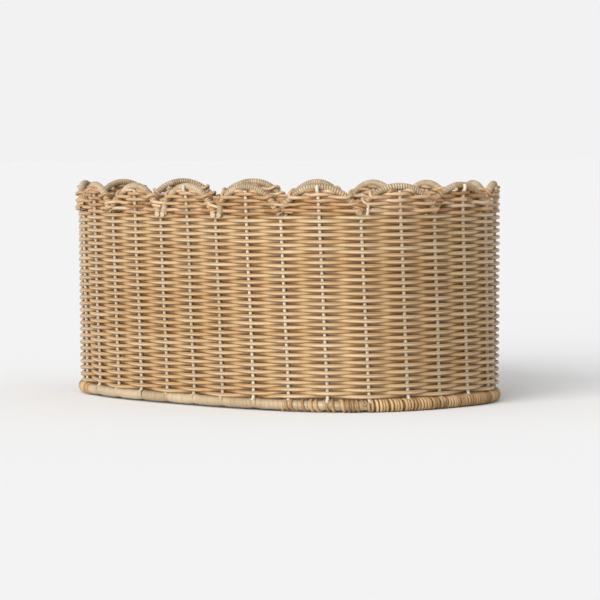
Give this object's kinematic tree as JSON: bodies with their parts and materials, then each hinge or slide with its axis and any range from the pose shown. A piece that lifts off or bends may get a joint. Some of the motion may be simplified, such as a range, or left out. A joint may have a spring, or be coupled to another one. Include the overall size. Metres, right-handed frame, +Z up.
{
  "type": "woven fruit basket",
  "caption": "Oval open basket of woven rattan with a scalloped rim of bound arches, thin upright stakes and a bound base hoop.",
  "frame": {"origin": "on the surface the basket stands on, under the middle of its oval", "axes": "+Z up, +X along the long axis of the oval, +Y along its short axis"},
  "size_m": [0.4356, 0.2862, 0.2],
  "materials": {
    "round_core": "natural unpolished rattan core, honey tan, slightly fibrous",
    "pale_core": "thin pale rattan core, greyish cream, matt",
    "peel": "flat rattan peel wound in close turns, pale straw, faint sheen",
    "pole": "bent rattan pole, tan"
  },
  "bodies": {
    "root": {"base_hoop": "pole", "hoop_peel_binding_back": "peel", "hoop_peel_binding_front": "peel", "hoop_cord_lashing_left": "round_core", "hoop_cord_lashing_right": "round_core", "crown_stake_01": "pale_core", "crown_stake_02": "pale_core", "crown_stake_03": "pale_core", "crown_stake_04": "pale_core", "crown_stake_05": "pale_core", "crown_stake_06": "pale_core", "crown_stake_07": "pale_core", "crown_stake_08": "pale_core", "crown_stake_09": "pale_core", "crown_stake_10": "pale_core", "crown_stake_11": "pale_core", "crown_stake_12": "pale_core", "crown_stake_13": "pale_core", "crown_stake_14": "pale_core", "crown_stake_15": "pale_core", "crown_stake_16": "pale_core", "valley_stake_01": "pale_core", "valley_stake_02": "pale_core", "valley_stake_03": "pale_core", "valley_stake_04": "pale_core", "valley_stake_05": "pale_core", "valley_stake_06": "pale_core", "valley_stake_07": "pale_core", "valley_stake_08": "pale_core", "valley_stake_09": "pale_core", "valley_stake_10": "pale_core", "valley_stake_11": "pale_core", "valley_stake_12": "pale_core", "valley_stake_13": "pale_core", "valley_stake_14": "pale_core", "valley_stake_15": "pale_core", "valley_stake_16": "pale_core", "wall_weave": "round_core", "scallop_arch_01": "peel", "scallop_arch_02": "peel", "scallop_arch_03": "peel", "scallop_arch_04": "peel", "scallop_arch_05": "peel", "scallop_arch_06": "peel", "scallop_arch_07": "peel", "scallop_arch_08": "peel", "scallop_arch_09": "peel", "scallop_arch_10": "peel", "scallop_arch_11": "peel", "scallop_arch_12": "peel", "scallop_arch_13": "peel", "scallop_arch_14": "peel", "scallop_arch_15": "peel", "scallop_arch_16": "peel", "base_stick_1": "pale_core", "base_stick_2": "pale_core", "base_stick_3": "pale_core", "base_stick_4": "pale_core", "base_stick_5": "pale_core", "base_weave": "round_core"}
  },
  "joints": []
}
